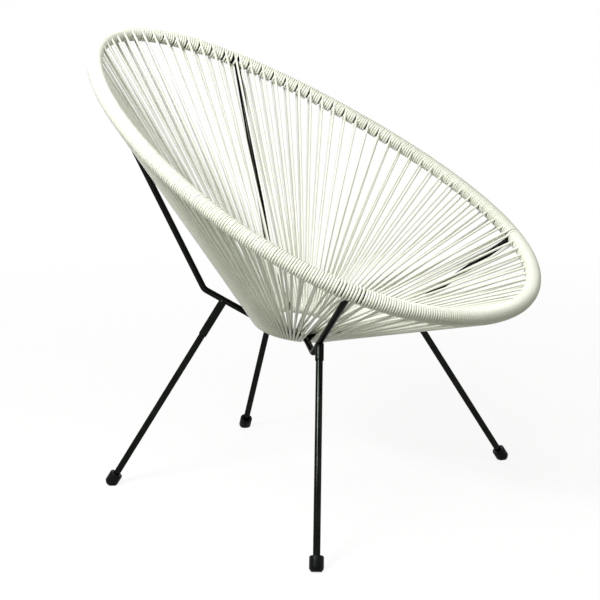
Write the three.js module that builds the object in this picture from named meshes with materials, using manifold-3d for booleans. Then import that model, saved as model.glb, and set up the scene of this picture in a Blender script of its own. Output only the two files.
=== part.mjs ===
// Oval cord-strung lounge chair on four splayed legs.
// Lengths are millimetres and angles degrees. The seat faces -Y, +Z is up and the floor is Z = 0.
// Places on the hoop and the ring are counted from the middle of the back, towards +X first.

import * as THREE from 'three';
import { mergeVertices } from 'three/addons/utils/BufferGeometryUtils.js';
import Module from 'manifold-3d';

const wasm = await Module();
wasm.setup();

// Clearance between pieces that touch
const fitGap = 0.3;

// Cord
const cordDiameter = 4.6;

// Hoop: an oval tube, narrower behind, in a plane that rises towards the back
const hoopHalfWidth = 360;
const hoopHalfLength = 478.7;
const hoopNarrowingShare = 0.1542;
const hoopFullnessShare = 0.0256;
const hoopDish = 3.2;
const hoopSlope = 27.8;
const hoopCentreHeight = 622.6;
const hoopTubeDiameter = 20.6;
const hoopTubeSides = 8;

// Winding: each step of the hoop carries two groups of turns
const rearBaySteps = 9;
const sideBaySteps = 13;
const frontBaySteps = 13;
const groupsPerStep = 2;
const windingGrooveDepth = 1.1;

// Centre ring
const ringRadius = 80;
const ringRodDiameter = 11;
const ringSlope = 10;
const ringCentreBack = 18;
const ringCentreHeight = 319.7;
const ringSteps = 36;
const ringRodSides = 8;

// Struts: from the hoop down to an elbow below the basket and in to the ring.
// The elbow is placed from the line between the strut's two ends: at a share of it from the ring,
// a depth below the basket's surface and a shift along it.
const strutDiameter = 11.8;
const strutSides = 10;
const bendSteps = 5;
const strandClearance = 1;
const upperStrandOffset = 5.5;
const rearStrut = {
  hoopPlaceShare: 0.0961, ringAngle: 41.4, bendRadius: 20,
  elbowPlaceShare: 0.1853, elbowDepth: 52.4, elbowShift: 3.1,
};
const frontStrut = {
  hoopPlaceShare: 0.3695, ringAngle: 134.5, bendRadius: 26,
  elbowPlaceShare: 0.2122, elbowDepth: 44, elbowShift: 7.1,
};

// Legs, with the run from the end of the strut's bend to the leg's joint on the strut
const legDiameter = 12.5;
const legSides = 12;
const socketDiameter = 15.4;
const socketCrown = 6;
const rearLeg = { jointRun: 36.5, footSide: 219.6, footBack: 311.3, socketLength: 80 };
const frontLeg = { jointRun: 47.4, footSide: 343.2, footBack: -253.4, socketLength: 33 };

// Foot caps
const capDiameter = 25;
const capEndDiameter = 17.4;
const capBevel = 5.5;
const capHeight = 27;
const capShoulder = 1.2;
const capSole = 5;
const capSides = 16;

// Seat cords: how many pieces each bay of the basket is made in
const rearBaySectors = 3;
const sideBaySectors = 4;
const frontBaySectors = 4;
const loopSteps = 4;
const loopReach = 100;

// Values that follow from the ones above
const cordRadius = cordDiameter / 2;
const hoopTubeRadius = hoopTubeDiameter / 2;
const ringRodRadius = ringRodDiameter / 2;
const strutRadius = strutDiameter / 2;
const legRadius = legDiameter / 2;
const socketRadius = socketDiameter / 2;
const boreRadius = legRadius + fitGap;
const hoopFlatShare = Math.cos(Math.PI / hoopTubeSides);
const windingRadius = hoopTubeRadius + cordDiameter;
const windingFlat = windingRadius * hoopFlatShare;
const windingBore = hoopTubeRadius + fitGap / hoopFlatShare;
const strandHalf = cordRadius * Math.sqrt(Math.PI) / 2;
const strandLift = ringRodRadius + fitGap + cordRadius;
const strandHoopLift = windingFlat - strandHalf;
const squareOutline = [[-1, -1], [1, -1], [1, 1], [-1, 1]].map(
  ([x, y]) => new THREE.Vector2(x * strandHalf, y * strandHalf),
);

const radians = THREE.MathUtils.degToRad;
const axisX = new THREE.Vector3(1, 0, 0);
const axisY = new THREE.Vector3(0, 1, 0);
const axisZ = new THREE.Vector3(0, 0, 1);

const hoopAlong = new THREE.Vector3(0, Math.cos(radians(hoopSlope)), Math.sin(radians(hoopSlope)));
const hoopNormal = new THREE.Vector3().crossVectors(axisX, hoopAlong);
const hoopCentre = new THREE.Vector3(0, hoopDish * Math.sin(radians(hoopSlope)), hoopCentreHeight);
const ringAlong = new THREE.Vector3(0, Math.cos(radians(ringSlope)), Math.sin(radians(ringSlope)));
const ringCentre = new THREE.Vector3(0, ringCentreBack, ringCentreHeight);

class HoopCurve extends THREE.Curve {
  constructor() {
    super();
    this.arcLengthDivisions = 720;
  }

  getPoint(share, target = new THREE.Vector3()) {
    const turn = 2 * Math.PI * share;
    const spread = 1 - hoopNarrowingShare * Math.cos(turn) + hoopFullnessShare * Math.cos(2 * turn);
    return target.copy(hoopCentre)
      .addScaledVector(axisX, hoopHalfWidth * Math.sin(turn) * spread)
      .addScaledVector(hoopAlong, hoopHalfLength * Math.cos(turn))
      .addScaledVector(hoopNormal, hoopDish * Math.cos(2 * turn));
  }
}

const hoopCurve = new HoopCurve();
const hoopLength = hoopCurve.getLength();

// Materials
const blackSteel = new THREE.MeshStandardMaterial({ color: 0x16181a, roughness: 0.35, metalness: 0.2 });
const blackRubber = new THREE.MeshStandardMaterial({ color: 0x1b1d1c, roughness: 0.6, metalness: 0 });
const ivoryCord = new THREE.MeshStandardMaterial({ color: 0xf1f1e8, roughness: 0.4, metalness: 0 });

// Solids from closed meshes
function solidOf(geometry) {
  const bare = geometry.clone();
  bare.deleteAttribute('normal');
  bare.deleteAttribute('uv');
  const merged = mergeVertices(bare);
  const faces = [];
  for (let i = 0; i < merged.index.count; i += 3) {
    const corners = [0, 1, 2].map((k) => merged.index.getX(i + k));
    if (new Set(corners).size === corners.length) {
      faces.push(...corners);
    }
  }
  return new wasm.Manifold(new wasm.Mesh({
    numProp: 3,
    vertProperties: new Float32Array(merged.attributes.position.array),
    triVerts: new Uint32Array(faces),
  }));
}

function geometryOf(solid) {
  const mesh = solid.getMesh();
  const geometry = new THREE.BufferGeometry();
  geometry.setAttribute('position', new THREE.BufferAttribute(mesh.vertProperties, mesh.numProp));
  geometry.setIndex(new THREE.BufferAttribute(mesh.triVerts, 1));
  geometry.computeVertexNormals();
  return geometry;
}

// A skin joins rings of points. It closes on itself, or its ends are filled with the given outline.
function skin(rings, outline = null) {
  const points = rings.flat();
  const around = rings[0].length;
  const spans = outline ? rings.length - 1 : rings.length;
  const faces = [];
  for (let i = 0; i < spans; i += 1) {
    const here = i * around;
    const next = ((i + 1) % rings.length) * around;
    for (let j = 0; j < around; j += 1) {
      const k = (j + 1) % around;
      faces.push(here + j, here + k, next + k, here + j, next + k, next + j);
    }
  }
  if (outline) {
    const last = (rings.length - 1) * around;
    for (const [a, b, c] of THREE.ShapeUtils.triangulateShape(outline, [])) {
      faces.push(a, c, b, last + a, last + b, last + c);
    }
  }
  const geometry = new THREE.BufferGeometry().setFromPoints(points);
  geometry.setIndex(enclosedVolume(points, faces) < 0 ? faces.reverse() : faces);
  geometry.computeVertexNormals();
  return geometry;
}

function enclosedVolume(points, faces) {
  let volume = 0;
  for (let i = 0; i < faces.length; i += 3) {
    const [a, b, c] = [points[faces[i]], points[faces[i + 1]], points[faces[i + 2]]];
    volume += a.dot(new THREE.Vector3().crossVectors(b, c));
  }
  return volume;
}

function roundOutline(radius, sides) {
  const outline = [];
  for (let i = 0; i < sides; i += 1) {
    const turn = 2 * Math.PI * (i + 0.5) / sides;
    outline.push(new THREE.Vector2(radius * Math.cos(turn), radius * Math.sin(turn)));
  }
  return outline;
}

// An outline placed on a frame: its x runs along side, its y along up
function placed(outline, { origin, side, up }) {
  return outline.map(({ x, y }) => origin.clone().addScaledVector(side, x).addScaledVector(up, y));
}

// Frames on the hoop and the ring
function hoopFrame(share) {
  const place = (share + 1) % 1;
  const origin = hoopCurve.getPointAt(place);
  const along = hoopCurve.getTangentAt(place);
  const side = new THREE.Vector3().crossVectors(along, hoopNormal).normalize();
  const up = new THREE.Vector3().crossVectors(side, along);
  return { origin, along, side, up };
}

function ringFrame(angle) {
  const side = axisX.clone().multiplyScalar(Math.sin(radians(angle)));
  side.addScaledVector(ringAlong, Math.cos(radians(angle)));
  const along = axisX.clone().multiplyScalar(Math.cos(radians(angle)));
  along.addScaledVector(ringAlong, -Math.sin(radians(angle)));
  const origin = ringCentre.clone().addScaledVector(side, ringRadius);
  return { origin, along, side, up: new THREE.Vector3().crossVectors(side, along) };
}

// The four bays of the basket, each between two struts
const strutHalfAngle = THREE.MathUtils.radToDeg((strutRadius + strandClearance) / ringRadius);
const bays = [
  {
    name: 'rear', steps: rearBaySteps, sectors: rearBaySectors, struts: [rearStrut, rearStrut],
    from: -rearStrut.hoopPlaceShare, to: rearStrut.hoopPlaceShare,
    fromAngle: -rearStrut.ringAngle, toAngle: rearStrut.ringAngle,
  },
  {
    name: 'left', steps: sideBaySteps, sectors: sideBaySectors, struts: [rearStrut, frontStrut],
    from: rearStrut.hoopPlaceShare, to: frontStrut.hoopPlaceShare,
    fromAngle: rearStrut.ringAngle, toAngle: frontStrut.ringAngle,
  },
  {
    name: 'front', steps: frontBaySteps, sectors: frontBaySectors, struts: [frontStrut, frontStrut],
    from: frontStrut.hoopPlaceShare, to: 1 - frontStrut.hoopPlaceShare,
    fromAngle: frontStrut.ringAngle, toAngle: 360 - frontStrut.ringAngle,
  },
  {
    name: 'right', steps: sideBaySteps, sectors: sideBaySectors, struts: [frontStrut, rearStrut],
    from: 1 - frontStrut.hoopPlaceShare, to: 1 - rearStrut.hoopPlaceShare,
    fromAngle: 360 - frontStrut.ringAngle, toAngle: 360 - rearStrut.ringAngle,
  },
];
for (const bay of bays) {
  bay.groups = bay.steps * groupsPerStep;
  bay.strands = bay.groups + 1;
  bay.hoopPitch = (bay.to - bay.from) / bay.groups;
  bay.ringPitch = (bay.toAngle - bay.fromAngle - 2 * strutHalfAngle) / bay.strands;
}

// Hoop, a closed rod with a ring of points at each step of each bay
function hoopSolid() {
  const outline = roundOutline(hoopTubeRadius, hoopTubeSides);
  const rings = [];
  for (const bay of bays) {
    for (let i = 0; i < bay.steps; i += 1) {
      rings.push(placed(outline, hoopFrame(bay.from + bay.hoopPitch * groupsPerStep * i)));
    }
  }
  return skin(rings);
}

// Centre ring
function ringSolid() {
  const outline = roundOutline(ringRodRadius, ringRodSides);
  const rings = [];
  for (let i = 0; i < ringSteps; i += 1) {
    const { origin, side, up } = ringFrame(360 * i / ringSteps);
    rings.push(placed(outline, { origin, side, up }));
  }
  return skin(rings);
}

// Strut: straight, round its elbow, straight
function strutShape(strut, sign) {
  const hoop = hoopFrame(sign * strut.hoopPlaceShare);
  const ring = ringFrame(sign * strut.ringAngle);
  const { lift, width } = strandFrame(hoop, ring);
  const elbow = ring.origin.clone().lerp(hoop.origin, strut.elbowPlaceShare)
    .addScaledVector(lift, -strut.elbowDepth).addScaledVector(width, sign * strut.elbowShift);
  const upward = new THREE.Vector3().subVectors(hoop.origin, elbow).normalize();
  const inward = new THREE.Vector3().subVectors(ring.origin, elbow).normalize();
  const halfAngle = upward.angleTo(inward) / 2;
  return { hoop, ring, elbow, upward, inward, halfAngle, bendRun: strut.bendRadius / Math.tan(halfAngle) };
}

// A flat end clears the rod or tube that it meets at a slant. Each of its facets turns by facetTurn.
function buttGap(across, along, radius, facetTurn) {
  const slant = Math.asin(Math.abs(across.dot(along))) + facetTurn;
  return (radius + fitGap + strutRadius * Math.sin(slant)) / Math.cos(slant);
}

function strutRod(strut, sign, radius, topGap = 0, ringGap = 0) {
  const { hoop, ring, elbow, upward, inward, halfAngle } = strutShape(strut, sign);
  const middle = upward.clone().add(inward).normalize();
  const bendCentre = elbow.clone().addScaledVector(middle, strut.bendRadius / Math.sin(halfAngle));
  const side = new THREE.Vector3().crossVectors(upward, inward).normalize();
  const sweep = Math.PI - 2 * halfAngle;
  const bend = [];
  for (let i = 0; i <= bendSteps; i += 1) {
    const up = middle.clone().negate().applyAxisAngle(side, sweep * (1 / 2 - i / bendSteps));
    bend.push({ origin: bendCentre.clone().addScaledVector(up, strut.bendRadius), side, up });
  }
  const top = hoop.origin.clone().addScaledVector(upward, -topGap);
  const end = ring.origin.clone().addScaledVector(inward, -ringGap);
  const frames = [{ ...bend[0], origin: top }, ...bend, { ...bend[bendSteps], origin: end }];
  const outline = roundOutline(radius, strutSides);
  return skin(frames.map((frame) => placed(outline, frame)), outline);
}

function strutPiece(strut, sign) {
  const { hoop, ring, upward, inward } = strutShape(strut, sign);
  const stepShare = bays[0].hoopPitch * groupsPerStep;
  const hoopTurn = hoop.along.angleTo(hoopFrame(sign * strut.hoopPlaceShare + stepShare).along);
  const topGap = buttGap(upward, hoop.along, hoopTubeRadius, hoopTurn);
  const ringGap = buttGap(inward, ring.along, ringRodRadius, Math.PI / ringSteps);
  return strutRod(strut, sign, strutRadius, topGap, ringGap);
}

// Winding: an open-ended ribbed sleeve round the hoop in each bay, parted by the struts
function windingPiece(bay) {
  const endShare = fitGap / 2 / hoopLength;
  const clamp = (share) => THREE.MathUtils.clamp(share, bay.from + endShare, bay.to - endShare);
  const outer = [];
  for (let i = 0; i <= 2 * bay.groups; i += 1) {
    const radius = windingRadius - ((i + 1) % 2) * windingGrooveDepth;
    const share = clamp(bay.from + bay.hoopPitch * i / 2);
    outer.push(placed(roundOutline(radius, hoopTubeSides), hoopFrame(share)));
  }
  const inner = [];
  for (let i = bay.steps; i >= 0; i -= 1) {
    const share = clamp(bay.from + bay.hoopPitch * groupsPerStep * i);
    inner.push(placed(roundOutline(windingBore, hoopTubeSides), hoopFrame(share)));
  }
  const sleeve = solidOf(skin([...outer, ...inner]));
  return strutClearances().reduce((rest, rod) => rest.subtract(rod), sleeve);
}

function strutClearances() {
  const radius = strutRadius + fitGap;
  return [rearStrut, frontStrut].flatMap((strut) => [1, -1].map(
    (sign) => solidOf(strutRod(strut, sign, radius)),
  ));
}

// Seat cords: at each place two strands lie against the hoop's and the ring's inner and outer sides
function strandFrame(hoop, ring) {
  const along = new THREE.Vector3().subVectors(hoop.origin, ring.origin).normalize();
  const across = hoop.along.clone().add(ring.along).normalize();
  const lift = new THREE.Vector3().crossVectors(across, along).normalize();
  const width = new THREE.Vector3().crossVectors(along, lift);
  if (lift.dot(new THREE.Vector3().subVectors(hoopCentre, hoop.origin)) < 0) {
    lift.negate();
  }
  const hoopLift = lift.clone().projectOnPlane(hoop.along).normalize();
  const ringLift = lift.clone().projectOnPlane(ring.along).normalize();
  return { along, lift, width, hoopLift, ringLift };
}

// How far from a strut's top its neighbours leave the hoop. The lower ones have to pass the strut.
function strandOffset(strut, layer) {
  const hoop = hoopFrame(strut.hoopPlaceShare);
  const slant = strandFrame(hoop, ringFrame(strut.ringAngle)).along.dot(hoop.along);
  const drift = Math.abs(strut.elbowShift) * (windingFlat + strutRadius) / strut.elbowDepth;
  const lowerOffset = (strutRadius + strandClearance + strandHalf + drift) / Math.sqrt(1 - slant ** 2);
  return (layer < 0 ? lowerOffset : upperStrandOffset) / hoopLength;
}

// Strands leave the hoop between two groups of turns, and beside each strut
function stationPlace(bay, place, layer) {
  const share = THREE.MathUtils.clamp(
    bay.from + bay.hoopPitch * (place - 1 / 2),
    bay.from + strandOffset(bay.struts[0], layer),
    bay.to - strandOffset(bay.struts[1], layer),
  );
  const hoop = hoopFrame(share);
  const ring = ringFrame(bay.fromAngle + strutHalfAngle + bay.ringPitch * place);
  return { hoop, ring, strand: strandFrame(hoop, ring) };
}

// A strand ends against the winding. Its four points go round its section from the ring's side.
function strandEnd(bay, index, layer) {
  const { hoop, ring, strand } = stationPlace(bay, index + 1 / 2, layer);
  const lift = strand.lift.clone().multiplyScalar(layer);
  const width = strand.width.dot(ring.along) > 0 ? strand.width : strand.width.clone().negate();
  const clearance = Math.sqrt((windingRadius + fitGap) ** 2 - (strandHoopLift - strandHalf) ** 2);
  const slant = Math.abs(strand.along.dot(hoop.along));
  const stop = (clearance + strandHalf * slant) / Math.sqrt(1 - slant ** 2);
  const origin = hoop.origin.clone().addScaledVector(strand.hoopLift, layer * strandHoopLift)
    .addScaledVector(strand.along, -stop);
  return placed(squareOutline, { origin, side: width, up: lift });
}

// The loops round the ring lie side by side on the side away from the strands.
// A section across them has an inner and an outer point at each step from one layer to the other.
function loopSection(bay, place) {
  const { ring, strand } = stationPlace(bay, place, 1);
  const side = new THREE.Vector3().crossVectors(strand.ringLift, ring.along).normalize();
  if (side.dot(strand.along) > 0) {
    side.negate();
  }
  const flatShare = Math.cos(radians(loopReach / loopSteps));
  const bore = (ringRodRadius + 2 * fitGap) / flatShare;
  const steps = [];
  for (let i = 0; i <= loopSteps; i += 1) {
    const turn = radians(loopReach * (1 - 2 * i / loopSteps));
    const spoke = side.clone().multiplyScalar(Math.cos(turn));
    spoke.addScaledVector(strand.ringLift, Math.sin(turn));
    steps.push({
      inner: ring.origin.clone().addScaledVector(spoke, bore),
      outer: ring.origin.clone().addScaledVector(spoke, strandLift + cordRadius),
    });
  }
  return steps;
}

// One strip for each place: down one strand, round the ring and up the other.
// Strips share their sides on the ring, so those sides are left open between them.
function seatSector(bay, first, last) {
  const trim = fitGap / 2 / (radians(bay.ringPitch) * ringRadius);
  const sections = [];
  for (let place = first; place <= last; place += 1) {
    sections.push(loopSection(bay, THREE.MathUtils.clamp(place, first + trim, last - trim)));
  }
  const around = squareOutline.length;
  const points = [];
  const faces = [];
  for (let i = 0; i < last - first; i += 1) {
    const loop = sections[i].map((here, k) => {
      const next = sections[i + 1][k];
      return [here.inner, next.inner, next.outer, here.outer];
    });
    const rings = [strandEnd(bay, first + i, 1), ...loop, strandEnd(bay, first + i, -1)];
    const base = points.length;
    points.push(...rings.flat());
    for (let k = 0; k + 1 < rings.length; k += 1) {
      const isStrand = k === 0 || k + 2 === rings.length;
      const isOpen = [false, !isStrand && i + 1 < last - first, false, !isStrand && i > 0];
      for (let j = 0; j < isOpen.length; j += 1) {
        if (!isOpen[j]) {
          const here = base + around * k;
          const next = here + around;
          const turn = (j + 1) % around;
          faces.push(here + j, here + turn, next + turn, here + j, next + turn, next + j);
        }
      }
    }
    const end = base + around * (rings.length - 1);
    faces.push(base, base + 2, base + 1, base, base + 3, base + 2);
    faces.push(end, end + 1, end + 2, end, end + 2, end + 3);
  }
  const geometry = new THREE.BufferGeometry().setFromPoints(points);
  geometry.setIndex(enclosedVolume(points, faces) < 0 ? faces.reverse() : faces);
  return geometryOf(solidOf(geometry));
}

// Legs
function legPlace(strut, leg, sign) {
  const { elbow, upward, inward, bendRun } = strutShape(strut, sign);
  const run = leg === rearLeg ? inward : upward;
  const joint = elbow.clone().addScaledVector(run, bendRun + leg.jointRun);
  const foot = new THREE.Vector3(sign * leg.footSide, leg.footBack, 0);
  const along = new THREE.Vector3().subVectors(joint, foot).normalize();
  return { joint, foot, along, turn: new THREE.Quaternion().setFromUnitVectors(axisY, along) };
}

function legPiece(length) {
  return new THREE.CylinderGeometry(legRadius, legRadius, length, legSides);
}

// Socket: a sleeve closed above the leg's end and seated on the strut
function socketPiece(strut, leg, sign) {
  const { joint, turn } = legPlace(strut, leg, sign);
  const boreEnd = -(strutRadius + fitGap + socketCrown);
  const profile = [
    new THREE.Vector2(0, boreEnd),
    new THREE.Vector2(boreRadius, boreEnd),
    new THREE.Vector2(boreRadius, -leg.socketLength),
    new THREE.Vector2(socketRadius, -leg.socketLength),
    new THREE.Vector2(socketRadius, 0),
    new THREE.Vector2(0, 0),
  ];
  const geometry = new THREE.LatheGeometry(profile, legSides);
  geometry.applyQuaternion(turn).translate(joint.x, joint.y, joint.z);
  return geometryOf(solidOf(geometry).subtract(solidOf(strutRod(strut, sign, strutRadius + fitGap))));
}

// Foot cap: a rubber boot along the leg. The inner half of its end lies flat on the floor.
function capPiece(strut, leg, sign) {
  const { foot, along, turn } = legPlace(strut, leg, sign);
  const capRadius = capDiameter / 2;
  const boreFloor = capBoreFloor(along.angleTo(axisZ));
  const profile = [
    new THREE.Vector2(0, 0),
    new THREE.Vector2(capEndDiameter / 2, 0),
    new THREE.Vector2(capRadius, capBevel),
    new THREE.Vector2(capRadius, capHeight - capShoulder),
    new THREE.Vector2(capRadius - capShoulder, capHeight),
    new THREE.Vector2(boreRadius, capHeight),
    new THREE.Vector2(boreRadius, boreFloor),
    new THREE.Vector2(0, boreFloor),
  ];
  const geometry = new THREE.LatheGeometry(profile, capSides);
  geometry.applyQuaternion(turn).translate(foot.x, foot.y, foot.z);
  return geometryOf(solidOf(geometry).trimByPlane(axisZ.toArray(), 0));
}

function capBoreFloor(lean) {
  return (capSole + boreRadius * Math.sin(lean)) / Math.cos(lean);
}

// Assembly
const group = new THREE.Group();

function addPiece(name, geometry, material) {
  const mesh = new THREE.Mesh(geometry, material);
  mesh.name = name;
  group.add(mesh);
  return mesh;
}

addPiece('hoop_tube', hoopSolid(), blackSteel);
addPiece('centre_ring', ringSolid(), blackSteel);

const corners = [
  { place: 'rear', strut: rearStrut, leg: rearLeg },
  { place: 'front', strut: frontStrut, leg: frontLeg },
];
for (const { place, strut, leg } of corners) {
  for (const [hand, sign] of [['left', 1], ['right', -1]]) {
    const corner = `${place}_${hand}`;
    addPiece(`strut_${corner}`, strutPiece(strut, sign), blackSteel);
    addPiece(`leg_socket_${corner}`, socketPiece(strut, leg, sign), blackSteel);
    addPiece(`foot_cap_${corner}`, capPiece(strut, leg, sign), blackRubber);

    const { joint, foot, along, turn } = legPlace(strut, leg, sign);
    const legTop = joint.distanceTo(foot) - strutRadius - 2 * fitGap - socketCrown;
    const legFloor = capBoreFloor(along.angleTo(axisZ)) + fitGap;
    const legMesh = addPiece(`leg_${corner}`, legPiece(legTop - legFloor), blackSteel);
    legMesh.position.copy(foot).addScaledVector(along, (legTop + legFloor) / 2);
    legMesh.quaternion.copy(turn);
  }
}

for (const bay of bays) {
  addPiece(`hoop_winding_${bay.name}`, geometryOf(windingPiece(bay)), ivoryCord);
  for (let i = 0; i < bay.sectors; i += 1) {
    const first = Math.round(bay.strands * i / bay.sectors);
    const last = Math.round(bay.strands * (i + 1) / bay.sectors);
    addPiece(`seat_cords_${bay.name}_${i + 1}`, seatSector(bay, first, last), ivoryCord);
  }
}

export default group;
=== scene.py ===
import bpy, math
import numpy as np
from mathutils import Matrix, Vector


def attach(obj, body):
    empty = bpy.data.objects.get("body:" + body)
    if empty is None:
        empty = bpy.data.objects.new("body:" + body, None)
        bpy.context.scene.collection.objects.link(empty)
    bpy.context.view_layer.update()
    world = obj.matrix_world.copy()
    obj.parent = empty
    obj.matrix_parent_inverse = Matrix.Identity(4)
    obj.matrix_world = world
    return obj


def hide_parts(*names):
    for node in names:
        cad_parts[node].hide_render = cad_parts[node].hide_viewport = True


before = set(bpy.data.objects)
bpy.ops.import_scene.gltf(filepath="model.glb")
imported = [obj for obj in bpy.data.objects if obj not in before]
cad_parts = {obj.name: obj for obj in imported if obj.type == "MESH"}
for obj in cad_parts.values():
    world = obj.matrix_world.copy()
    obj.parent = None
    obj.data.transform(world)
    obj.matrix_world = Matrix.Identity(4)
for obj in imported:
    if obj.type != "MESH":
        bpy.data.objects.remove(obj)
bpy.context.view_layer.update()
mm = 0.001
axisX = np.array([1.0, 0.0, 0.0])
axisZ = np.array([0.0, 0.0, 1.0])


def unit(v):
    return v / np.linalg.norm(v, axis=-1, keepdims=True)


def slopedPlane(degrees):  # the direction that rises towards the back, and the plane's normal
    turn = math.radians(degrees)
    along = np.array([0.0, math.cos(turn), math.sin(turn)])
    return along, np.cross(axisX, along)


# Camera

cameraView = {
    "place": (-2.2398, -1.5212, 0.9974), "yaw": 34.4172, "pitch": -13.1472, "roll": -0.1408,
    "lens": 88.398, "sensor": 36, "farClip": 60,
}


def makeCamera(view):
    yaw, pitch, roll = (math.radians(view[k]) for k in ("yaw", "pitch", "roll"))
    forward = np.array([math.cos(pitch) * math.cos(yaw), math.cos(pitch) * math.sin(yaw), math.sin(pitch)])
    right = unit(np.cross(forward, axisZ))
    up = np.cross(right, forward)
    rolledRight = right * math.cos(roll) + up * math.sin(roll)
    rolledUp = up * math.cos(roll) - right * math.sin(roll)
    camera = bpy.data.objects.new("camera", bpy.data.cameras.new("camera"))
    camera.data.sensor_width = view["sensor"]
    camera.data.lens = view["lens"]
    camera.data.clip_end = view["farClip"]
    place = Matrix.Translation(view["place"])
    camera.matrix_world = place @ Matrix((rolledRight, rolledUp, -forward)).transposed().to_4x4()
    bpy.context.scene.collection.objects.link(camera)
    bpy.context.scene.camera = camera


makeCamera(cameraView)
print("camera placed")


# Materials

def newMaterial(name):
    material = bpy.data.materials.new(name)
    material.use_nodes = True
    nodes = material.node_tree.nodes
    return material, nodes, material.node_tree.links, nodes["Principled BSDF"]


def noiseOn(nodes, links, scale, detail=2.0):
    place = nodes.new("ShaderNodeTexCoord")
    noise = nodes.new("ShaderNodeTexNoise")
    noise.inputs["Scale"].default_value = scale
    noise.inputs["Detail"].default_value = detail
    links.new(place.outputs["Object"], noise.inputs["Vector"])
    return noise.outputs["Fac"]


def rampOn(nodes, links, source, span, values):  # from one colour or grey value to another across the span
    ramp = nodes.new("ShaderNodeValToRGB")
    for element, place, value in zip(ramp.color_ramp.elements, span, values):
        element.position = place
        element.color = (*value, 1) if isinstance(value, tuple) else (value, value, value, 1)
    links.new(source, ramp.inputs["Fac"])
    return ramp.outputs["Color"]


def bumpOn(nodes, links, source, distance, strength, under=None):
    bump = nodes.new("ShaderNodeBump")
    bump.inputs["Distance"].default_value = distance
    bump.inputs["Strength"].default_value = strength
    links.new(source, bump.inputs["Height"])
    if under is not None:
        links.new(under, bump.inputs["Normal"])
    return bump.outputs["Normal"]


cordLook = {
    "ivory": (0.83, 0.842, 0.755), "greyer": (0.775, 0.787, 0.69), "toneSpan": (0.35, 0.62),
    "patchScale": 9.0, "patchDetail": 3.0, "roughness": (0.30, 0.42), "glossSpan": (0.3, 0.7),
    "dustScale": 420.0, "dustDetail": 3.0, "waveScale": 260.0, "waveHeight": 0.00006, "waveStrength": 0.6,
    "refraction": 1.5,
}


def makeCordMaterial(look):  # soft drawn plastic: satin gloss, slightly uneven in tone
    material, nodes, links, skin = newMaterial("ivory cord")
    patch = noiseOn(nodes, links, look["patchScale"], look["patchDetail"])
    tone = rampOn(nodes, links, patch, look["toneSpan"], (look["greyer"], look["ivory"]))
    links.new(tone, skin.inputs["Base Color"])
    dust = noiseOn(nodes, links, look["dustScale"], look["dustDetail"])
    gloss = rampOn(nodes, links, dust, look["glossSpan"], look["roughness"])
    links.new(gloss, skin.inputs["Roughness"])
    wave = noiseOn(nodes, links, look["waveScale"])
    bump = bumpOn(nodes, links, wave, look["waveHeight"], look["waveStrength"])
    links.new(bump, skin.inputs["Normal"])
    skin.inputs["IOR"].default_value = look["refraction"]
    return material


steelLook = {
    "black": (0.0078, 0.0092, 0.0078), "worn": (0.013, 0.0145, 0.013), "toneSpan": (0.4, 0.75),
    "patchScale": 38.0, "patchDetail": 4.0, "roughness": (0.05, 0.12), "glossSpan": (0.3, 0.7),
    "grainScale": 900.0, "grainHeight": 0.00003, "grainStrength": 0.7,
    "peelScale": 220.0, "peelHeight": 0.00006, "peelStrength": 0.6,
    "metallic": 1, "rim": (0.5, 0.5, 0.5, 1),
}


def makeSteelMaterial(look):  # gloss powder coat: orange peel, a fine grain, and dark at its edges too
    material, nodes, links, skin = newMaterial("black powder coat")
    patch = noiseOn(nodes, links, look["patchScale"], look["patchDetail"])
    tone = rampOn(nodes, links, patch, look["toneSpan"], (look["black"], look["worn"]))
    links.new(tone, skin.inputs["Base Color"])
    grain = noiseOn(nodes, links, look["grainScale"])
    gloss = rampOn(nodes, links, grain, look["glossSpan"], look["roughness"])
    links.new(gloss, skin.inputs["Roughness"])
    peel = noiseOn(nodes, links, look["peelScale"])
    under = bumpOn(nodes, links, peel, look["peelHeight"], look["peelStrength"])
    bump = bumpOn(nodes, links, grain, look["grainHeight"], look["grainStrength"], under)
    links.new(bump, skin.inputs["Normal"])
    skin.inputs["Metallic"].default_value = look["metallic"]
    skin.inputs["Specular Tint"].default_value = look["rim"]
    return material


rubberLook = {
    "black": (0.0012, 0.0019, 0.0015), "dusty": (0.0045, 0.0056, 0.005), "toneSpan": (0.42, 0.8),
    "patchScale": 55.0, "patchDetail": 4.0, "roughness": (0.28, 0.45), "glossSpan": (0.3, 0.7),
    "grainScale": 1400.0, "grainHeight": 0.00005, "grainStrength": 0.6, "shine": 0.08,
}


def makeRubberMaterial(look):  # moulded rubber, half matt, duller where it is dusty
    material, nodes, links, skin = newMaterial("black rubber")
    patch = noiseOn(nodes, links, look["patchScale"], look["patchDetail"])
    tone = rampOn(nodes, links, patch, look["toneSpan"], (look["black"], look["dusty"]))
    links.new(tone, skin.inputs["Base Color"])
    gloss = rampOn(nodes, links, patch, look["glossSpan"], look["roughness"])
    links.new(gloss, skin.inputs["Roughness"])
    grain = noiseOn(nodes, links, look["grainScale"])
    bump = bumpOn(nodes, links, grain, look["grainHeight"], look["grainStrength"])
    links.new(bump, skin.inputs["Normal"])
    skin.inputs["Specular IOR Level"].default_value = look["shine"]
    return material


finishes = {
    "ivory_cord": makeCordMaterial(cordLook),
    "black_steel": makeSteelMaterial(steelLook),
    "black_rubber": makeRubberMaterial(rubberLook),
}
print("materials made")


# A rod along a path, swept by geometry nodes

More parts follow.
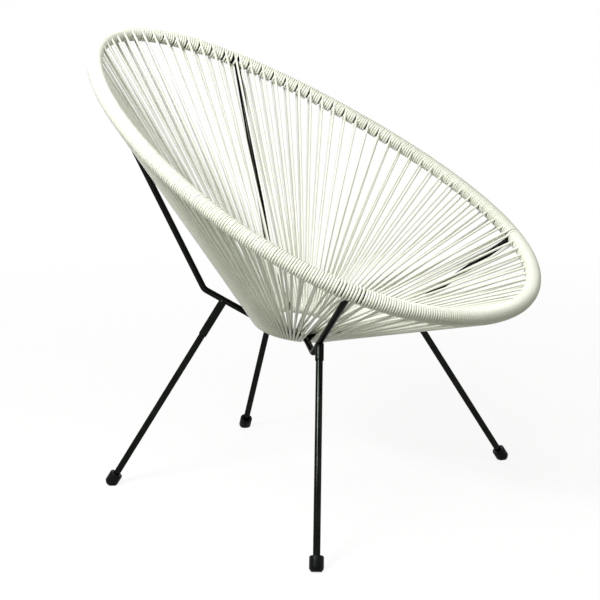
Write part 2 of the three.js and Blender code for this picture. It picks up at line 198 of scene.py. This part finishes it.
def makeRodTree():
    tree = bpy.data.node_groups.new("rod along a path", "GeometryNodeTree")
    sockets = tree.interface
    sockets.new_socket("Path", in_out="INPUT", socket_type="NodeSocketGeometry")
    sockets.new_socket("Diameter", in_out="INPUT", socket_type="NodeSocketFloat")
    sockets.new_socket("Sides", in_out="INPUT", socket_type="NodeSocketInt")
    sockets.new_socket("Material", in_out="INPUT", socket_type="NodeSocketMaterial")
    sockets.new_socket("Rod", in_out="OUTPUT", socket_type="NodeSocketGeometry")
    nodes, links = tree.nodes, tree.links
    given = nodes.new("NodeGroupInput")
    halve = nodes.new("ShaderNodeMath")
    halve.operation = "MULTIPLY"
    halve.inputs[1].default_value = 0.5
    outline = nodes.new("GeometryNodeCurvePrimitiveCircle")
    sweep = nodes.new("GeometryNodeCurveToMesh")
    sweep.inputs["Fill Caps"].default_value = True
    smooth = nodes.new("GeometryNodeSetShadeSmooth")
    real = nodes.new("GeometryNodeRealizeInstances")
    paint = nodes.new("GeometryNodeSetMaterial")
    result = nodes.new("NodeGroupOutput")
    links.new(given.outputs["Diameter"], halve.inputs[0])
    links.new(halve.outputs[0], outline.inputs["Radius"])
    links.new(given.outputs["Sides"], outline.inputs["Resolution"])
    links.new(given.outputs["Path"], sweep.inputs["Curve"])
    links.new(outline.outputs["Curve"], sweep.inputs["Profile Curve"])
    links.new(sweep.outputs["Mesh"], smooth.inputs["Geometry"])
    links.new(smooth.outputs["Geometry"], real.inputs["Geometry"])
    links.new(real.outputs["Geometry"], paint.inputs["Geometry"])
    links.new(given.outputs["Material"], paint.inputs["Material"])
    links.new(paint.outputs["Geometry"], result.inputs["Rod"])
    return tree


rodTree = makeRodTree()


def addMesh(name, mesh, slot, replaced):
    piece = bpy.data.objects.new(name, mesh)
    bpy.context.scene.collection.objects.link(piece)
    if not mesh.materials:
        mesh.materials.append(finishes[slot])
    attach(piece, "root")
    if replaced:
        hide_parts(*replaced)


def makeRod(name, points, diameter, sides, slot, replaced, closed=False, swell=None):
    curve = bpy.data.curves.new(name, "CURVE")
    curve.dimensions = "3D"
    spline = curve.splines.new("POLY")
    spline.points.add(len(points) - 1)
    spline.points.foreach_set("co", np.column_stack([points, np.ones(len(points))]).ravel())
    if swell is not None:
        spline.points.foreach_set("radius", swell)
    spline.use_cyclic_u = closed
    path = bpy.data.objects.new(name + " path", curve)
    bpy.context.scene.collection.objects.link(path)
    modifier = path.modifiers.new("rod", "NODES")
    modifier.node_group = rodTree
    values = {"Diameter": diameter, "Sides": sides, "Material": finishes[slot]}
    for item in rodTree.interface.items_tree:
        if item.in_out == "INPUT" and item.name in values:
            modifier[item.identifier] = values[item.name]
    shown = path.evaluated_get(bpy.context.evaluated_depsgraph_get())
    mesh = bpy.data.meshes.new_from_object(shown)
    mesh.name = name
    bpy.data.objects.remove(path)
    bpy.data.curves.remove(curve)
    addMesh(name, mesh, slot, replaced)


# Hoop and centre ring

hoopSizes = {
    "halfWidth": 360 * mm, "halfLength": 478.7 * mm, "narrowing": 0.1542, "fullness": 0.0256,
    "dish": 3.2 * mm, "slope": 27.8, "centreHeight": 622.6 * mm,
    "tube": 20.6 * mm, "points": 360, "sides": 24, "tableSteps": 5760, "tangentStep": 1e-4,
}
ringSizes = {
    "radius": 80 * mm, "rod": 11 * mm, "slope": 10, "back": 18 * mm, "height": 319.7 * mm,
    "points": 120, "sides": 24,
}
hoopAlong, hoopNormal = slopedPlane(hoopSizes["slope"])
ringAlong, ringNormal = slopedPlane(ringSizes["slope"])
hoopCentre = np.array([0, hoopSizes["dish"] * hoopAlong[2], hoopSizes["centreHeight"]])
ringCentre = np.array([0, ringSizes["back"], ringSizes["height"]])


def hoopCurve(turn):  # an oval that is narrower at the back, and slightly dished
    turn = np.asarray(turn)[..., None]
    spread = 1 - hoopSizes["narrowing"] * np.cos(turn) + hoopSizes["fullness"] * np.cos(2 * turn)
    across = axisX * hoopSizes["halfWidth"] * np.sin(turn) * spread
    return (hoopCentre + across + hoopAlong * hoopSizes["halfLength"] * np.cos(turn)
            + hoopNormal * hoopSizes["dish"] * np.cos(2 * turn))


turnTable = np.linspace(0, 2 * np.pi, hoopSizes["tableSteps"] + 1)
arcTable = np.concatenate([[0], np.cumsum(np.linalg.norm(np.diff(hoopCurve(turnTable), axis=0), axis=1))])
hoopLength = arcTable[-1]


def hoopFrame(arc):  # arc: length along the hoop from the middle of the back, towards +X first
    turn = np.interp(np.mod(arc, hoopLength), arcTable, turnTable)
    step = hoopSizes["tangentStep"]
    along = unit(hoopCurve(turn + step) - hoopCurve(turn - step))
    outward = unit(np.cross(hoopNormal, along))
    return {"origin": hoopCurve(turn), "along": along, "outward": outward, "up": np.cross(along, outward)}


def ringFrame(arc):  # arc: length along the ring in the same sense
    turn = np.asarray(arc / ringSizes["radius"])[..., None]
    outward = axisX * np.sin(turn) + ringAlong * np.cos(turn)
    along = axisX * np.cos(turn) - ringAlong * np.sin(turn)
    return {"origin": ringCentre + outward * ringSizes["radius"], "along": along, "outward": outward,
            "up": np.broadcast_to(ringNormal, outward.shape)}


def roundAbout(at, turn, radius):  # a point round the rod or tube: 0 outward, a quarter turn up
    turn = np.asarray(turn)[..., None]
    return at["origin"] + radius * (at["outward"] * np.cos(turn) + at["up"] * np.sin(turn))


def ringArc(degrees):
    return math.radians(degrees) * ringSizes["radius"]


hoopPoints = hoopFrame(np.arange(hoopSizes["points"]) * hoopLength / hoopSizes["points"])["origin"]
makeRod("hoop", hoopPoints, hoopSizes["tube"], hoopSizes["sides"], "black_steel", ["hoop_tube"],
        closed=True)
ringPoints = ringFrame(np.arange(ringSizes["points"]) * ringArc(360) / ringSizes["points"])["origin"]
makeRod("ring", ringPoints, ringSizes["rod"], ringSizes["sides"], "black_steel", ["centre_ring"],
        closed=True)
print("hoop and ring made")


# Struts with their welds

strutSizes = {
    "diameter": 11.8 * mm, "sides": 24, "bendSteps": 20,
    "stopShort": 0.25,  # of the hoop tube's diameter, before the tube's middle
    "weldReach": 5 * mm, "weldSwell": 1.6 * mm, "weldSteps": 6,
    "weldRoot": 2.5 * mm, "weldSunk": 0.8 * mm, "weldTuck": 0.5 * mm,
    "rear": {
        "hoopPlace": 0.0961 * hoopLength, "ringPlace": ringArc(41.4), "bend": 20 * mm,
        "elbowShare": 0.1853, "elbowDepth": 52.4 * mm, "elbowShift": 3.1 * mm,
    },
    "front": {
        "hoopPlace": 0.3695 * hoopLength, "ringPlace": ringArc(134.5), "bend": 26 * mm,
        "elbowShare": 0.2122, "elbowDepth": 44 * mm, "elbowShift": 7.1 * mm,
    },
}
corners = [("rear", "left", 1), ("rear", "right", -1), ("front", "left", 1), ("front", "right", -1)]
strutRadius = strutSizes["diameter"] / 2


def strandLifts(hoop, ring):  # the inner side of the basket between a place on the hoop and one on the ring
    along = unit(hoop["origin"] - ring["origin"])
    lift = unit(np.cross(unit(hoop["along"] + ring["along"]), along))
    width = np.cross(along, lift)
    if lift @ (hoopCentre - hoop["origin"]) < 0:
        lift = -lift
    onHoop = unit(lift - hoop["along"] * (lift @ hoop["along"]))
    onRing = unit(lift - ring["along"] * (lift @ ring["along"]))
    return {"lift": lift, "width": width, "onHoop": onHoop, "onRing": onRing}


def strutShape(place, hand):
    strut = strutSizes[place]
    hoop, ring = hoopFrame(hand * strut["hoopPlace"]), ringFrame(hand * strut["ringPlace"])
    lifts = strandLifts(hoop, ring)
    elbow = ring["origin"] + (hoop["origin"] - ring["origin"]) * strut["elbowShare"]
    elbow = elbow - lifts["lift"] * strut["elbowDepth"] + lifts["width"] * hand * strut["elbowShift"]
    upward, inward = unit(hoop["origin"] - elbow), unit(ring["origin"] - elbow)
    half = math.acos(upward @ inward) / 2
    return {"hoop": hoop, "ring": ring, "elbow": elbow, "upward": upward, "inward": inward, "half": half,
            "bend": strut["bend"], "bendRun": strut["bend"] / math.tan(half)}


def strutPath(shape):
    middle = unit(shape["upward"] + shape["inward"])
    centre = shape["elbow"] + middle * shape["bend"] / math.sin(shape["half"])
    sideways = unit(shape["upward"] - middle * (shape["upward"] @ middle))
    sweep = np.linspace(1, -1, strutSizes["bendSteps"] + 1) * (math.pi / 2 - shape["half"])
    bend = centre + shape["bend"] * (sideways * np.sin(sweep)[:, None] - middle * np.cos(sweep)[:, None])
    top = shape["hoop"]["origin"] - shape["upward"] * hoopSizes["tube"] * strutSizes["stopShort"]
    return np.vstack([top, bend, shape["ring"]["origin"]])


def turned(name, profile, origin, axis, sides, slot, replaced=()):  # rings of points about an axis
    e1 = unit(np.cross(axis, axisZ))
    e2 = np.cross(axis, e1)
    turn = np.arange(sides) * 2 * np.pi / sides
    spokes = np.outer(np.cos(turn), e1) + np.outer(np.sin(turn), e2)
    rings = [origin + axis * run + spokes * radius for run, radius in profile]
    # a point that would sink into the floor slides up the axis on to it
    rings = [ring + np.outer(np.clip(-ring[:, 2], 0, None) / axis[2], axis) for ring in rings]
    count = len(rings)
    points = np.vstack([*rings, origin + axis * profile[0][0], origin + axis * profile[-1][0]])
    faces = []
    for i in range(count - 1):
        for j in range(sides):
            k = (j + 1) % sides
            faces.append((i * sides + j, i * sides + k, (i + 1) * sides + k, (i + 1) * sides + j))
    first, last = count * sides, count * sides + 1
    for j in range(sides):
        k = (j + 1) % sides
        faces.append((first, k, j))
        faces.append((last, (count - 1) * sides + j, (count - 1) * sides + k))
    mesh = bpy.data.meshes.new(name)
    mesh.from_pydata(points.tolist(), [], faces)
    mesh.shade_smooth()
    addMesh(name, mesh, slot, replaced)


def weldCollar(name, origin, axis, surface):  # a fillet where a strut's end meets a tube
    reach, low = strutSizes["weldReach"], surface - strutSizes["weldSunk"]
    profile = [(surface - strutSizes["weldRoot"], strutRadius)]
    for share in np.linspace(0, 1, strutSizes["weldSteps"]):
        profile.append((low + reach * share, strutRadius + strutSizes["weldSwell"] * (1 - share) ** 2))
    profile.append((surface + reach, strutRadius - strutSizes["weldTuck"]))
    turned(name, profile, origin, axis, strutSizes["sides"], "black_steel")


for place, side, hand in corners:
    shape = strutShape(place, hand)
    corner = f"{place}_{side}"
    makeRod(f"strut-{corner}", strutPath(shape), strutSizes["diameter"], strutSizes["sides"],
            "black_steel", [f"strut_{corner}"])
    weldCollar(f"ring-weld-{corner}", shape["ring"]["origin"], -shape["inward"], ringSizes["rod"] / 2)
    weldCollar(f"hoop-weld-{corner}", shape["hoop"]["origin"], -shape["upward"], hoopSizes["tube"] / 2)
print("struts made")


# Legs, sockets and foot caps

legSizes = {
    "diameter": 12.5 * mm, "sides": 28, "footEnd": 12 * mm, "topEnd": 10 * mm,
    "rear": {"strutRun": "inward", "jointRun": 36.5 * mm, "foot": (219.6 * mm, 311.3 * mm),
             "socketLength": 80 * mm},
    "front": {"strutRun": "upward", "jointRun": 47.4 * mm, "foot": (343.2 * mm, -253.4 * mm),
              "socketLength": 33 * mm},
    "socket": 15.4 * mm,
    # run up from the socket's low end, and how much slimmer it is there, in millimetres
    "socketMouth": [(1.5, 1.75), (0.3, 1.35), (0, 1.1), (0, 0.9), (0.27, 0.27), (0.9, 0), (2.7, 0)],
    # the same, with the run from the joint up
    "socketTop": [(-10, 0), (-4, 0), (-2, 0.25), (0, 1.1), (1.6, 2.4), (2.8, 4.4)],
    "capSides": 36,
    # run along the leg and radius in millimetres; what would sink into the floor is flattened on it
    "capRings": [
        (0, 7.8), (0.25, 8.7), (1.2, 9.6), (4.7, 12.0), (5.5, 12.4), (6.5, 12.5), (10, 12.5), (18, 12.5),
        (25.4, 12.5), (26.3, 12.1), (26.8, 11.5), (27, 10.8), (27, 7.4), (26.6, 6.6), (25.6, 6.3),
    ],
}


def makeLeg(place, side, hand):
    sizes, shape = legSizes[place], strutShape(place, hand)
    corner = f"{place}_{side}"
    joint = shape["elbow"] + shape[sizes["strutRun"]] * (shape["bendRun"] + sizes["jointRun"])
    foot = np.array([hand * sizes["foot"][0], sizes["foot"][1], 0])
    axis = unit(joint - foot)
    ends = np.array([foot + axis * legSizes["footEnd"], joint - axis * legSizes["topEnd"]])
    makeRod(f"leg-{corner}", ends, legSizes["diameter"], legSizes["sides"], "black_steel",
            [f"leg_{corner}"])
    low, outer = -sizes["socketLength"], legSizes["socket"] / 2
    socket = [(low + run * mm, outer - slimmer * mm) for run, slimmer in legSizes["socketMouth"]]
    socket += [(run * mm, outer - slimmer * mm) for run, slimmer in legSizes["socketTop"]]
    turned(f"leg-socket-{corner}", socket, joint, axis, legSizes["sides"], "black_steel",
           [f"leg_socket_{corner}"])
    cap = [(run * mm, radius * mm) for run, radius in legSizes["capRings"]]
    turned(f"foot-cap-{corner}", cap, foot, axis, legSizes["capSides"], "black_rubber",
           [f"foot_cap_{corner}"])


for place, side, hand in corners:
    makeLeg(place, side, hand)
print("legs made")


# Cord: one run in each bay, wound on the hoop and drawn to the ring and back at each station

cordSizes = {
    "diameter": 4.6 * mm, "sides": 10, "stepsPerTurn": 18, "loopSteps": 12, "tightPitch": 4.35 * mm,
    "stationHalf": 1.15 * mm, "ringHalf": 1.07 * mm, "hoopBlend": 0.6, "ringBlend": 0.8,
    "bendAway": 60 * mm, "bendPower": 1.2, "squeezeRun": 60 * mm, "overlap": 0.02,
    "strutRoom": 1 * mm, "strutClear": 8.4 * mm, "strutArrive": 2.9 * mm, "strutNear": 20 * mm,
    "strutFade": 9 * mm, "spread": 1.3 * mm, "spreadTurn": 0.6,
    "seed": 7, "ringUneven": 0.2 * mm, "loopUneven": 0.35 * mm, "windingUneven": 0.15 * mm,
    # where the line of the lower strand beside a strut would meet the hoop
    "lowerLine": {"rear": 11.28 * mm, "front": 12.12 * mm},
    # a strand's points: their runs from the hoop, where it is bent or straight there, and from the ring
    "bentRuns": np.array([0, 8, 16, 25, 35, 45, 55, 65]) * mm, "straightRuns": np.array([0, 15, 60]) * mm,
    "ringRuns": np.array([60, 30, 14, 6, 0]) * mm,
}
bays = [  # beside: where an upper strand leaves the hoop beside the strut at either end of the bay
    {"name": "rear", "groups": 18, "hands": (-1, 1), "struts": ("rear", "rear"), "sectors": 3,
     "beside": (5.5 * mm, 5.5 * mm)},
    {"name": "left", "groups": 26, "hands": (1, 1), "struts": ("rear", "front"), "sectors": 4,
     "beside": (5.5 * mm, 7.6 * mm)},
    {"name": "front", "groups": 26, "hands": (1, -1), "struts": ("front", "front"), "sectors": 4,
     "beside": (4.8 * mm, 7.6 * mm)},
    {"name": "right", "groups": 26, "hands": (-1, -1), "struts": ("front", "rear"), "sectors": 4,
     "beside": (7.6 * mm, 5.5 * mm)},
]
strutHalf = strutRadius + cordSizes["strutRoom"]
for bay in bays:
    ends = [strutSizes[place] for place in bay["struts"]]
    fromTo = [hand * end["hoopPlace"] for hand, end in zip(bay["hands"], ends)]
    onRing = [hand * end["ringPlace"] for hand, end in zip(bay["hands"], ends)]
    if fromTo[1] < fromTo[0]:
        fromTo[1] += hoopLength
        onRing[1] += ringArc(360)
    bay["from"], bay["to"] = fromTo
    bay["pitch"] = (fromTo[1] - fromTo[0]) / bay["groups"]
    bay["ringFrom"] = onRing[0] + strutHalf
    bay["ringPitch"] = (onRing[1] - onRing[0] - 2 * strutHalf) / (bay["groups"] + 1)

windingRadius = hoopSizes["tube"] / 2 + cordSizes["diameter"] / 2
loopRadius = ringSizes["rod"] / 2 + cordSizes["diameter"] / 2
uneven = np.random.default_rng(cordSizes["seed"])


def passedStruts():  # where each strut crosses the winding: a place along the hoop and a turn about it
    found = []
    for place, _, hand in corners:
        shape = strutShape(place, hand)
        hoop, down = shape["hoop"], -shape["upward"]
        turn = math.atan2(down @ hoop["up"], down @ hoop["outward"])
        drift = windingRadius * (down @ hoop["along"]) / math.sqrt(1 - (down @ hoop["along"]) ** 2)
        found.append((hand * strutSizes[place]["hoopPlace"] + drift, turn))
    return found


strutCrossings = passedStruts()


def slopeAt(direction, at, spoke, radius):  # how fast a helix there advances along the rod, for its turn
    onward = np.cross(at["along"], spoke)
    return radius * (direction @ at["along"]) / (direction @ onward)


def strand(bay, index, layer):  # layer 1 lies in the basket, -1 under it
    # contact: where it touches the hoop; line: where its straight part points
    contact = line = bay["from"] + bay["pitch"] * index + layer * cordSizes["stationHalf"]
    if index == 0:
        contact = bay["from"] + bay["beside"][0] - (0 if layer > 0 else 2 * cordSizes["stationHalf"])
        line = contact if layer > 0 else bay["from"] + cordSizes["lowerLine"][bay["struts"][0]]
    elif index == bay["groups"]:
        contact = bay["to"] - bay["beside"][1] - (0 if layer > 0 else cordSizes["strutArrive"])
        line = contact if layer > 0 else bay["to"] - cordSizes["lowerLine"][bay["struts"][1]]
    ringPlace = bay["ringFrom"] + bay["ringPitch"] * (index + 0.5) + layer * cordSizes["ringHalf"]
    ring = ringFrame(ringPlace)
    hoop, lineHoop = hoopFrame(contact), hoopFrame(line)
    lifts = strandLifts(lineHoop, ring)
    onHoop = unit(lifts["onHoop"] - hoop["along"] * (lifts["onHoop"] @ hoop["along"])) * layer
    onRing = lifts["onRing"] * layer
    start = hoop["origin"] + onHoop * windingRadius
    lineStart = lineHoop["origin"] + lifts["onHoop"] * layer * windingRadius
    end = ring["origin"] + onRing * loopRadius
    length = np.linalg.norm(end - lineStart)
    fromHoop = cordSizes["bentRuns"] if line != contact else cordSizes["straightRuns"]
    runs = np.concatenate([fromHoop, [length / 2], length - cordSizes["ringRuns"]])
    away = np.clip(1 - runs / cordSizes["bendAway"], 0, 1) ** cordSizes["bendPower"]
    points = lineStart + np.outer(runs / length, end - lineStart) + np.outer(away, start - lineStart)
    return {
        "points": points, "place": contact, "ringPlace": ringPlace, "runs": length - runs,
        "turn": math.atan2(onHoop @ hoop["up"], onHoop @ hoop["outward"]),
        "ringTurn": math.atan2(onRing @ ring["up"], onRing @ ring["outward"]),
        "slope": slopeAt(points[1] - points[0], hoop, onHoop, windingRadius),
        "ringSlope": slopeAt(points[-1] - points[-2], ring, onRing, loopRadius),
    }


def helix(places, turns, slopes, steps, blend):  # places along the rod for evenly spaced turns
    turn = np.linspace(turns[0], turns[1], steps + 1)
    mean = (places[1] - places[0]) / (turns[1] - turns[0])
    bend0, bend1 = slopes[0] - mean, slopes[1] - mean
    near = np.clip(1 - (turn - turns[0]) / blend, 0, 1) ** 2
    far = np.clip(1 - (turns[1] - turn) / blend, 0, 1) ** 2
    start, stop = places[0] + bend0 * blend / 2, places[1] - bend1 * blend / 2
    share = (turn - turns[0]) / (turns[1] - turns[0])
    return turn, start + (stop - start) * share - bend0 * blend / 2 * near + bend1 * blend / 2 * far


def aroundStruts(place, turn):  # turns under the hoop part to either side of a strut
    for crossing, under in strutCrossings:
        away = (place - crossing + hoopLength / 2) % hoopLength - hoopLength / 2
        if np.abs(away).min() > cordSizes["strutNear"]:
            continue
        lap = np.round((turn - under) / (2 * np.pi))
        atLap = np.interp(under + lap * 2 * np.pi, turn, away)
        push = np.sign(atLap) * np.clip(cordSizes["strutClear"] - np.abs(atLap), 0, None)
        beyond = (turn - under - lap * 2 * np.pi) * windingRadius / cordSizes["strutFade"]
        place = place + push * np.exp(-beyond ** 2)
    return place


def winding(fromStrand, toStrand):  # from a lower strand's end round the hoop to the next upper one
    startPlace, endPlace = fromStrand["place"], toStrand["place"]
    endPlace -= round((endPlace - startPlace) / hoopLength) * hoopLength
    # as many laps as lie side by side there, with half a one left for the ends
    laps = math.floor((startPlace - endPlace) / cordSizes["tightPitch"] - 0.5)
    startTurn, endTurn = fromStrand["turn"], toStrand["turn"]
    endTurn = startTurn + (endTurn - startTurn) % (2 * math.pi) + 2 * math.pi * laps
    steps = round((endTurn - startTurn) / (2 * math.pi) * cordSizes["stepsPerTurn"])
    turn, place = helix((startPlace, endPlace), (startTurn, endTurn),
                        (fromStrand["slope"], toStrand["slope"]), steps, cordSizes["hoopBlend"])
    knots = np.linspace(turn[0], turn[-1], 2 * laps + 4)
    shift = uneven.normal(0, cordSizes["windingUneven"], len(knots))
    shift[0] = shift[-1] = 0
    inner = np.exp(-((np.mod(turn, 2 * math.pi) - math.pi) / cordSizes["spreadTurn"]) ** 2)
    place = place + cordSizes["spread"] * inner * np.linspace(1, -1, len(turn))
    place = aroundStruts(place + np.interp(turn, knots, shift), turn)
    return roundAbout(hoopFrame(place), turn, windingRadius)


def ringLoop(upper, lower):  # from an upper strand's end round the ring to the lower strand beside it
    startTurn = upper["ringTurn"]
    endTurn = startTurn + (lower["ringTurn"] - startTurn) % (2 * math.pi)
    turn, place = helix((upper["ringPlace"], lower["ringPlace"]), (startTurn, endTurn),
                        (upper["ringSlope"], lower["ringSlope"]), cordSizes["loopSteps"],
                        cordSizes["ringBlend"])
    bulge = np.sin(np.linspace(0, np.pi, len(turn))) ** 2
    place = place + uneven.normal(0, cordSizes["ringUneven"]) * bulge
    radius = loopRadius + uneven.uniform(0, cordSizes["loopUneven"]) * bulge[:, None]
    return roundAbout(ringFrame(place), turn, radius)


def cordPath(bay, nextBay):  # its points, and its width at each as a share of the diameter
    room = bay["ringPitch"] * (1 - loopRadius / ringSizes["radius"]) / cordSizes["diameter"]
    squeeze = min(1.0, room + cordSizes["overlap"])
    points, widths = [], []

    def lay(part, width):
        points.append(part)
        widths.append(np.broadcast_to(width, len(part)))

    def narrowed(one):  # thinner towards the ring, where the cord is crowded
        return 1 - (1 - squeeze) * np.clip(1 - one["runs"] / cordSizes["squeezeRun"], 0, 1) ** 2

    for index in range(bay["groups"], -1, -1):
        upper, lower = strand(bay, index, 1), strand(bay, index, -1)
        nextUpper = strand(bay, index - 1, 1) if index else strand(nextBay, nextBay["groups"], 1)
        lay(upper["points"], narrowed(upper))
        lay(ringLoop(upper, lower)[1:-1], squeeze)
        lay(lower["points"][::-1], narrowed(lower)[::-1])
        lay(winding(lower, nextUpper)[1:-1], 1.0)
    lay(nextUpper["points"][:1], 1.0)
    return np.vstack(points), np.concatenate(widths)


for i, bay in enumerate(bays):
    name = bay["name"]
    path, widths = cordPath(bay, bays[i - 1])
    replaced = [f"hoop_winding_{name}"] + [f"seat_cords_{name}_{n + 1}" for n in range(bay["sectors"])]
    makeRod(f"cord-{name}", path, cordSizes["diameter"], cordSizes["sides"], "ivory_cord", replaced,
            swell=widths)
    print("cord laid:", name, len(path), "points")


# Floor, background and lamps

stageLook = {
    "floorSize": 40, "floorGrey": (0.27, 0.277, 0.235, 1), "white": (1, 1, 1, 1),
    "shadowShare": 0.12, "fadeFrom": 0.8, "fadeTo": 2.4, "skyLight": 0.18, "skyColour": (1, 1.03, 0.85, 1),
    "lampAim": (0, 0, 0.5),
    "lamps": {
        "key lamp": {"power": 37, "size": (1.5, 1.5), "place": (-1.3, -0.5, 2.8)},
        "fill lamp": {"power": 4, "size": (1.5, 1.5), "place": (0.8, -2.3, 1.5)},
        "front lamp": {"power": 42, "size": (0.8, 0.3), "place": (-1.85, 0.20, 1.82)},
        "back lamp": {"power": 20, "size": (1.8, 1.8), "place": (1.6, 2.0, 1.9)},
    },
}


def seenOn(nodes, links):  # 1 for the camera and for what metal or glass shows of the room, else 0
    path = nodes.new("ShaderNodeLightPath")
    seen = path.outputs["Is Camera Ray"]
    for ray in ("Is Glossy Ray", "Is Transmission Ray"):
        either = nodes.new("ShaderNodeMath")
        either.operation = "MAXIMUM"
        links.new(seen, either.inputs[0])
        links.new(path.outputs[ray], either.inputs[1])
        seen = either.outputs[0]
    return seen


def mixOn(nodes, links, share, first, second):
    mix = nodes.new("ShaderNodeMixShader")
    links.new(share, mix.inputs["Fac"])
    links.new(first, mix.inputs[1])
    links.new(second, mix.inputs[2])
    return mix.outputs[0]


def makeFloor(look):  # seen white with a faint shadow, while the chair gets a grey floor's light
    half = look["floorSize"] / 2
    mesh = bpy.data.meshes.new("floor")
    square = [(-half, -half, 0), (half, -half, 0), (half, half, 0), (-half, half, 0)]
    mesh.from_pydata(square, [], [(0, 1, 2, 3)])
    floor = bpy.data.objects.new("floor", mesh)
    bpy.context.scene.collection.objects.link(floor)
    material, nodes, links, skin = newMaterial("white floor")
    nodes.remove(skin)
    grey = nodes.new("ShaderNodeBsdfDiffuse")
    grey.inputs["Color"].default_value = look["floorGrey"]
    matt = nodes.new("ShaderNodeBsdfDiffuse")
    matt.inputs["Color"].default_value = look["white"]
    glow = nodes.new("ShaderNodeEmission")
    place = nodes.new("ShaderNodeTexCoord")
    distance = nodes.new("ShaderNodeVectorMath")
    distance.operation = "LENGTH"
    fade = nodes.new("ShaderNodeMapRange")
    fade.inputs["From Min"].default_value = look["fadeFrom"]
    fade.inputs["From Max"].default_value = look["fadeTo"]
    fade.inputs["To Min"].default_value = 1 - look["shadowShare"]
    fade.inputs["To Max"].default_value = 1
    links.new(place.outputs["Object"], distance.inputs[0])
    links.new(distance.outputs["Value"], fade.inputs["Value"])
    white = mixOn(nodes, links, fade.outputs["Result"], matt.outputs[0], glow.outputs[0])
    whole = mixOn(nodes, links, seenOn(nodes, links), grey.outputs[0], white)
    links.new(whole, nodes["Material Output"].inputs["Surface"])
    mesh.materials.append(material)


def makeSky(look):
    world = bpy.data.worlds.new("white room")
    bpy.context.scene.world = world
    world.use_nodes = True
    nodes, links = world.node_tree.nodes, world.node_tree.links
    light = nodes["Background"]
    light.inputs["Color"].default_value = look["skyColour"]
    light.inputs["Strength"].default_value = look["skyLight"]
    white = nodes.new("ShaderNodeBackground")
    white.inputs["Color"].default_value = look["white"]
    whole = mixOn(nodes, links, seenOn(nodes, links), light.outputs[0], white.outputs[0])
    links.new(whole, nodes["World Output"].inputs["Surface"])


def makeLamp(name, lamp, target):
    light = bpy.data.lights.new(name, "AREA")
    light.shape, light.energy = "RECTANGLE", lamp["power"]
    light.size, light.size_y = lamp["size"]
    holder = bpy.data.objects.new(name, light)
    holder.location = lamp["place"]
    aim = Vector(target) - holder.location
    holder.rotation_mode = "QUATERNION"
    holder.rotation_quaternion = aim.to_track_quat("-Z", "Y")
    bpy.context.scene.collection.objects.link(holder)


makeFloor(stageLook)
makeSky(stageLook)
for name, lamp in stageLook["lamps"].items():
    makeLamp(name, lamp, stageLook["lampAim"])
bpy.context.scene.view_settings.view_transform = "Standard"
print("stage made")
